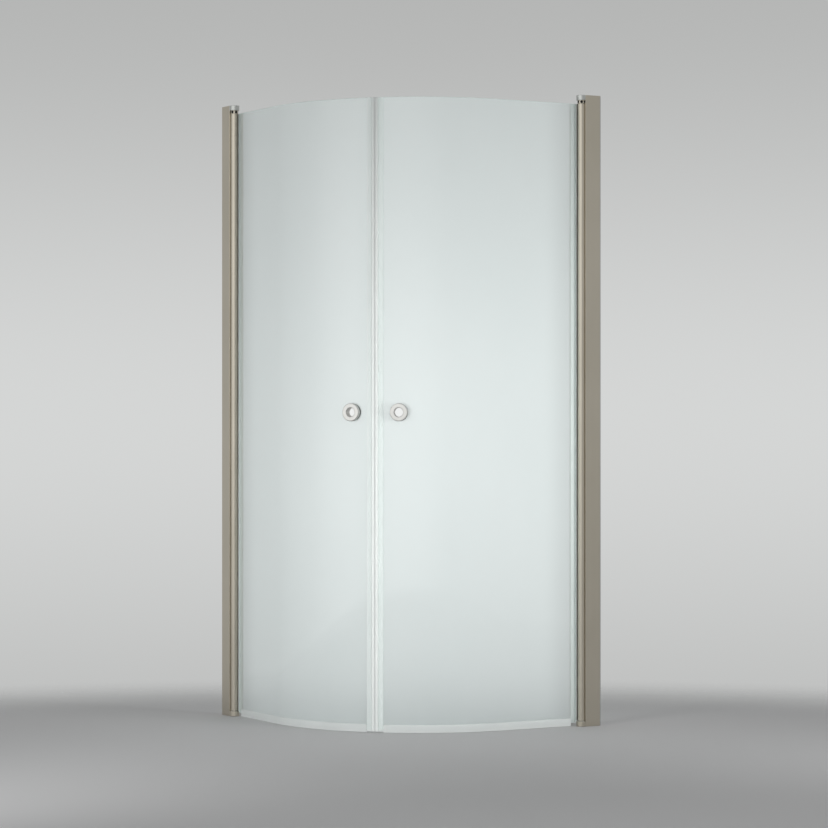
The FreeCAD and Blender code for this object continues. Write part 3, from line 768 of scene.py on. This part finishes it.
def bond_strip():
    """Flat tape between leaf and glass, a hair's breadth clear of both."""
    hair = 0.08
    end_gap = 0.2
    edge = 0.1
    start, end = 79.8, 96.8
    back = LEAF_FRONT + hair
    front = GLASS_LINE - GLASS - hair
    outline = boundary(rounded([[back, start], [front, start], [front, end], [back, end]], edge, 3))
    return raised([outline], TUBE_LOW + end_gap, TUBE_HIGH - end_gap, edge, edge)


def seal_hollow(inset):
    """Corners of the hollow in the edge strip's front, drawn in by an inset."""
    near = SEAL_FRONT + SEAL_WALL + inset
    far = SEAL_BACK - SEAL_WALL - inset
    half = SEAL_HALF - SEAL_WALL - inset
    return [by_meeting(near, -half), by_meeting(near, half),
            by_meeting(far, half), by_meeting(far, -half)]


def edge_strip():
    """Seal on the free edge: a hollow front that holds the magnet and meets the other door with a
    pale lip, and two clear legs along the glass."""
    end_edge = 0.2
    slack = 0.1
    front, leg, lip = 0, 1, 2
    outer = BEND + SEAL_FIT
    inner = BEND - GLASS - SEAL_FIT
    corners = [
        by_meeting(LIP_FRONT, -SEAL_HALF), by_meeting(LIP_FRONT, SEAL_HALF),
        by_meeting(SEAL_BACK, SEAL_HALF), on_bend(outer + SEAL_WALL, SEAL_BACK),
        on_bend(outer + SEAL_WALL, LEG_END), on_bend(outer, LEG_END),
        on_bend(outer, SEAL_BACK), on_bend(inner, SEAL_BACK),
        on_bend(inner, LEG_END), on_bend(inner - SEAL_WALL, LEG_END),
        on_bend(inner - SEAL_WALL, SEAL_BACK), by_meeting(SEAL_BACK, -SEAL_HALF)]
    radii = [0.15, 0.15, 0.9, 0.5, 0.5, 0.1, 0.2, 0.2, 0.1, 0.5, 0.5, 0.9]
    loops = [boundary(rounded(corners, radii)), opening(rounded(seal_hollow(0), 0.05, 2))]
    for points, faces in raised(loops, SEAL_LOW, TUBE_HIGH, end_edge, end_edge):
        setback = (points[:, 0] - points[:, 1]) * math.cos(DIAGONAL)
        spot = setback[faces].max(1)
        numbers = np.where(spot > SEAL_BACK + SEAL_WALL, leg, front)
        numbers[spot < SEAL_FRONT + SEAL_WALL + slack] = lip
        yield points, faces, numbers


def magnet_bar():
    """Magnet in the seal's hollow front."""
    corner = 0.7
    end_edge = 0.3
    outline = boundary(rounded(seal_hollow(MAGNET_GAP), corner))
    return raised([outline], SEAL_LOW, TUBE_HIGH, end_edge, end_edge)


def floor_strip():
    """Seal under the glass: two walls that grip it, a base, and the outer wall's lip down to the
    floor."""
    outer = SEAL_FIT + SEAL_WALL
    seat = GLASS_LOW - SEAL_FIT
    base = seat - FLOOR_BASE
    corners = [[outer, FLOOR_LIP], [outer, FLOOR_TOP], [SEAL_FIT, FLOOR_TOP], [SEAL_FIT, seat],
               [-GLASS - SEAL_FIT, seat], [-GLASS - SEAL_FIT, FLOOR_TOP],
               [-GLASS - outer, FLOOR_TOP], [-GLASS - outer, base],
               [SEAL_FIT, base], [SEAL_FIT, FLOOR_LIP]]
    radii = [0.5, 0.5, 0.3, 0.2, 0.2, 0.3, 0.5, 0.8, 0.4, 0.5]
    section = boundary(rounded(corners, radii))
    return carried(section, FLOOR_START, angle_short_of(LEG_END + FLOOR_GAP))


def pane_lines(inset):
    """Lines of the pane's grid: straight runs and angles along it, and heights, and the numbers of
    the first lines along and up in the grip's patch. The lines that cross the patch are evenly
    spaced across the glass there."""
    lateral = np.linspace(-PATCH, PATCH, PATCH_COUNT + 1)
    patch = GRIP_ANGLE + np.arcsin(lateral / BEND)
    stop = angle_short_of(EDGE_SETBACK) - inset / MIDDLE
    run = np.linspace(GLASS_START + inset, BEND_CENTRE, 12)
    before = np.linspace(0, patch[0], 33)[1:-1]
    after = np.linspace(patch[-1], stop, 6)[1:]
    turn = np.concatenate([before, patch, after])
    runs = np.concatenate([run, np.full(len(turn), BEND_CENTRE)])
    turns = np.concatenate([np.zeros(len(run)), turn])
    below = np.linspace(GLASS_LOW + inset, GRIP_HEIGHT - PATCH, 13)[:-1]
    above = np.linspace(GRIP_HEIGHT + PATCH, TUBE_HIGH - inset, 13)[1:]
    heights = np.concatenate([below, GRIP_HEIGHT + lateral, above])
    return runs, turns, heights, len(run) + len(before), len(below)


def pane_points(offset, inset):
    """Points of the pane's grid at an offset from its outer face."""
    runs, turns, heights, _, _ = pane_lines(inset)
    return on_glass(runs[:, None], turns[:, None], offset, heights[None, :])


def pane_border(offset, inset):
    """The pane's border once round: along the bottom, up the free edge, back along the top and
    down."""
    points = pane_points(offset, inset)
    return np.concatenate([points[:-1, 0], points[-1, :-1], points[:0:-1, -1], points[0, :0:-1]])


def bent_pane():
    """Pane: two faces as grids of the way along the glass and the height, with a square left out
    round the grip and filled by rings from the hole to the square; round the border and the hole,
    ground edges."""
    smooth, frosted, ground = 0, 1, 2
    turn = np.linspace(0, np.pi / 2, 4)
    fall = ARRIS * (1 - np.cos(turn))
    draw = ARRIS * (1 - np.sin(turn))
    levels = [*zip(-fall, draw), *zip(-GLASS + fall[::-1], draw[::-1])]
    _, _, _, first, low = pane_lines(ARRIS)
    border = square_ring(PATCH_COUNT) * PATCH
    way = np.arctan2(border[:, 1], border[:, 0])
    outer = np.stack([np.arcsin(border[:, 0] / BEND), border[:, 1]], 1)
    rim = GRIP_HOLE + ARRIS
    mix = np.linspace(0, 1, 7)[:, None, None]
    for offset, number, order in ((0.0, smooth, FORWARD), (-GLASS, frosted, BACKWARD)):
        points = pane_points(offset, ARRIS)
        rows, columns = points.shape[:2]
        faces = grid_faces(rows, columns).reshape(rows - 1, columns - 1, 4)
        kept = np.ones((rows - 1, columns - 1), bool)
        kept[first:first + PATCH_COUNT, low:low + PATCH_COUNT] = False
        yield points.reshape(-1, 3), faces[kept][:, order], number
        radius = BEND + offset
        inner = np.stack([np.arcsin(rim * np.cos(way) / radius), rim * np.sin(way)], 1)
        spot = inner * (1 - mix) + outer * mix
        rings = by_grip(radius * np.cos(spot[..., 0]), radius * np.sin(spot[..., 0]), spot[..., 1])
        yield rings.reshape(-1, 3), grid_faces(len(spot), len(border), True)[:, order], number
    edge = np.stack([pane_border(offset, inset) for offset, inset in levels])
    yield edge.reshape(-1, 3), grid_faces(len(edge), edge.shape[1], True), ground
    wall = []
    for offset, inset in levels:
        lateral = (GRIP_HOLE + inset) * np.cos(way)
        reach = np.sqrt((BEND + offset) ** 2 - lateral ** 2)
        wall.append(by_grip(reach, lateral, (GRIP_HOLE + inset) * np.sin(way)))
    yield np.concatenate(wall), grid_faces(len(wall), len(way), True)[:, ::-1], ground


def grip_ring(corners, radii):
    """Ring of the grip: its rounded section turned about the grip's axis."""
    origin = GRIP_AXIS + BEND * GRIP_OUTWARD
    yield turned(boundary(rounded(corners, radii, 9)), origin, GRIP_BESIDE, UP, 96)


def outer_ring():
    """Outer half of the grip, with a neck through the glass."""
    return grip_ring(
        [[GRIP_BORE, NECK_END], [NECK_RADIUS, NECK_END], [NECK_RADIUS, GRIP_GASKET],
         [GRIP_RADIUS, GRIP_GASKET], [GRIP_RADIUS, GRIP_FRONT], [GRIP_BORE, GRIP_FRONT]],
        [0.2, 0.2, 0.2, 0.5, 2.5, 2.0])


def inner_ring():
    """Inner half of the grip, with a recess round the neck's end."""
    seat = -GLASS - GRIP_GASKET
    recess = NECK_RADIUS + NECK_GAP
    floor = NECK_END - NECK_GAP
    return grip_ring(
        [[GRIP_BORE, GRIP_BACK], [GRIP_RADIUS, GRIP_BACK], [GRIP_RADIUS, seat],
         [recess, seat], [recess, floor], [GRIP_BORE, floor]],
        [1.0, 2.5, 0.4, 0.1, 0.1, 0.1])


both_sides("cover_extrusion", cover_extrusion(), [champagne_aluminium],
           "frame", "cover_profile")
both_sides("top_block", pivot_block(True), [satin_grey_metal],
           "frame", "top_pivot_bracket")
both_sides("bottom_block", pivot_block(False), [champagne_aluminium],
           "frame", "bottom_pivot_bracket")
both_sides("holed_collar", holed_collar(), [champagne_aluminium, painted_hole_shade],
           "frame", "adjusting_collar")
both_sides("top_plug", end_plug(True), [grey_plastic],
           "frame", "top_end_cap")
both_sides("bottom_plug", end_plug(False), [grey_plastic],
           "frame", "bottom_end_cap")
both_sides("tube_and_leaf", tube_and_leaf(), [champagne_aluminium],
           "door", "hinge_tube")
both_sides("rubber_strip", rubber_strip(), [dark_rubber, pale_lip],
           "door", "glass_gasket")
both_sides("bond_strip", bond_strip(), [bond_tape],
           "door", "bond_tape")
both_sides("bent_pane", bent_pane(), [glass_face, glass_frosting, glass_arris],
           "door", "door_glass")
both_sides("edge_strip", edge_strip(), [clear_vinyl, clear_leg, pale_lip],
           "door", "magnet_seal")
both_sides("magnet_bar", magnet_bar(), [magnet_rubber],
           "door", "magnet_strip")
both_sides("floor_strip", floor_strip(), [soft_floor_seal],
           "door", "bottom_seal")
both_sides("outer_ring", outer_ring(), [satin_nickel],
           "door", "outer_grip")
both_sides("inner_ring", inner_ring(), [satin_nickel],
           "door", "inner_grip")

KEPT_FINISHES = {
    "wall_channel": mill_aluminium,
    "bracket_screws": stainless_steel,
    "cover_screws": stainless_steel,
    "top_pivot_pin": stainless_steel,
    "bottom_pivot_pin": stainless_steel,
    "thrust_washer": grey_plastic,
    "top_tube_bush": bearing_plastic,
    "bottom_tube_bush": bearing_plastic,
    "grip_bush": bearing_plastic,
    "grip_gaskets": dark_rubber,
}
for kept, material in KEPT_FINISHES.items():
    for side in ("left", "right"):
        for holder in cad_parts[f"{side}_{kept}"].material_slots:
            holder.material = material


# Studio, in metres

def studio_floor():
    """Disc under and before the screen, paler away from it as painted light where the lamps don't
    reach, that fades out into the background.
    """
    rings = 14
    spokes = 96
    drop = -0.0004
    near_tone, far_tone, paler_between = (0.58, 0.583, 0.587), (0.8, 0.803, 0.807), (0.9, 2.6)
    fade_centre, fade_between = (-1.591, -2.776, 0.0), (3.6, 4.7)
    radius = np.arange(1.0, rings + 1)[:, None]
    angle = np.linspace(0, 2 * np.pi, spokes + 1)[:-1]
    points = np.broadcast_arrays(radius * np.cos(angle), radius * np.sin(angle), drop)
    points = np.stack(points, -1).reshape(-1, 3).tolist() + [[0.0, 0.0, drop]]
    spoke = np.arange(spokes)
    middle = np.stack([spoke, np.roll(spoke, -1), np.full(spokes, rings * spokes)], 1)
    mesh = bpy.data.meshes.new("studio_floor")
    mesh.from_pydata(points, [], grid_faces(rings, spokes, True).tolist() + middle.tolist())
    material = bpy.data.materials.new("studio_floor")
    material.use_nodes = True
    tree = material.node_tree
    principled = tree.nodes["Principled BSDF"]
    principled.inputs["Roughness"].default_value = 0.7
    place = node(tree, "ShaderNodeTexCoord").outputs["Object"]
    away = node(tree, "ShaderNodeVectorMath", {0: place}, operation="LENGTH")
    # painted light: the floor turns paler beyond the lamps' pool
    paler = smooth_step(tree, away.outputs["Value"], paler_between, (0.0, 1.0))
    tone = blend(tree, paler, near_tone, far_tone)
    tree.links.new(tone, principled.inputs["Base Color"])
    reach = node(tree, "ShaderNodeVectorMath", {0: place, 1: fade_centre}, operation="DISTANCE")
    fade = smooth_step(tree, reach.outputs["Value"], fade_between, (1.0, 0.0))
    tree.links.new(fade, principled.inputs["Alpha"])
    mesh.materials.append(material)
    floor = bpy.data.objects.new("studio_floor", mesh)
    bpy.context.scene.collection.objects.link(floor)


def studio_air():
    """Background for what the camera, gloss and glass see, palest at the horizon, in a wide soft
    patch before the screen and in a small one behind it, and an even soft light for everything
    else."""
    horizon, above, horizon_ends = (0.66, 0.67, 0.665), (0.46, 0.465, 0.46), 0.16
    even_strength = 0.36
    # each patch: its direction, the cosines at its border and core, and how much brighter it gets
    wide_patch = ((-0.866, -0.5, 0.0), (0.55, 0.96), 2.3)
    small_patch = ((0.497, 0.868, 0.0), (0.9983, 0.9997), 1.3)
    world = bpy.data.worlds.new("studio_air")
    world.use_nodes = True
    tree = world.node_tree
    tree.nodes.clear()
    place = node(tree, "ShaderNodeTexCoord").outputs["Generated"]
    parts = node(tree, "ShaderNodeSeparateXYZ", {0: place})
    height = maths(tree, "ABSOLUTE", parts.outputs["Z"])
    tone = blend(tree, smooth_step(tree, height, (0.0, horizon_ends), (0.0, 1.0)), horizon, above)
    gains = []
    for direction, cosines, gain in (wide_patch, small_patch):
        facing = node(tree, "ShaderNodeVectorMath", {0: place, 1: direction},
                      operation="DOT_PRODUCT")
        gains.append(smooth_step(tree, facing.outputs["Value"], cosines, (1.0, gain)))
    strength = maths(tree, "MULTIPLY", *gains)
    seen = node(tree, "ShaderNodeBackground", {"Color": tone, "Strength": strength})
    even = node(tree, "ShaderNodeBackground", {
        "Color": (1.0, 1.0, 1.0, 1.0), "Strength": even_strength})
    ray = node(tree, "ShaderNodeLightPath").outputs
    straight = maths(tree, "MAXIMUM", ray["Is Camera Ray"], ray["Is Glossy Ray"])
    either = maths(tree, "MAXIMUM", straight, ray["Is Transmission Ray"])
    mixed = node(tree, "ShaderNodeMixShader", {0: either, 1: even.outputs[0], 2: seen.outputs[0]})
    result = node(tree, "ShaderNodeOutputWorld")
    tree.links.new(mixed.outputs[0], result.inputs["Surface"])
    bpy.context.scene.world = world


def soft_light(name, location, aim, power):
    """Round lamp with a wide soft beam that lights matt surfaces and isn't mirrored."""
    lamp = bpy.data.lights.new(name, "AREA")
    lamp.shape = "DISK"
    lamp.size = 1.2
    lamp.spread = math.radians(64)
    lamp.energy = power
    holder = bpy.data.objects.new(name, lamp)
    holder.location = location
    along, across, rise = np.array(aim) - np.array(location)
    tilt = math.atan2(math.hypot(along, across), -rise)
    holder.rotation_euler = (tilt, 0.0, math.atan2(-along, across))
    holder.visible_camera = False
    holder.visible_glossy = False
    holder.visible_transmission = False
    bpy.context.scene.collection.objects.link(holder)


def photo_camera():
    """Level camera with the place and the lens that were fitted to the photo."""
    eye = bpy.data.cameras.new("photo_camera")
    eye.lens = 122.86
    eye.sensor_width = 36.0
    eye.sensor_fit = "HORIZONTAL"
    eye.clip_end = 100.0
    camera = bpy.data.objects.new("photo_camera", eye)
    camera.location = (-4.5302, -7.9441, 0.9897)
    camera.rotation_euler = (math.radians(90), 0.0, math.radians(-29.82))
    bpy.context.scene.collection.objects.link(camera)
    bpy.context.scene.camera = camera


studio_floor()
studio_air()
soft_light("left_light", location=(-2.95, -1.65, 0.68), aim=(-0.4, 0.0, 0.68), power=10.2)
soft_light("right_light", location=(1.35, -3.15, 0.92), aim=(0.2, -0.4, 0.92), power=11.5)
photo_camera()
bpy.context.scene.view_settings.view_transform = "Standard"

bpy.context.view_layer.update()
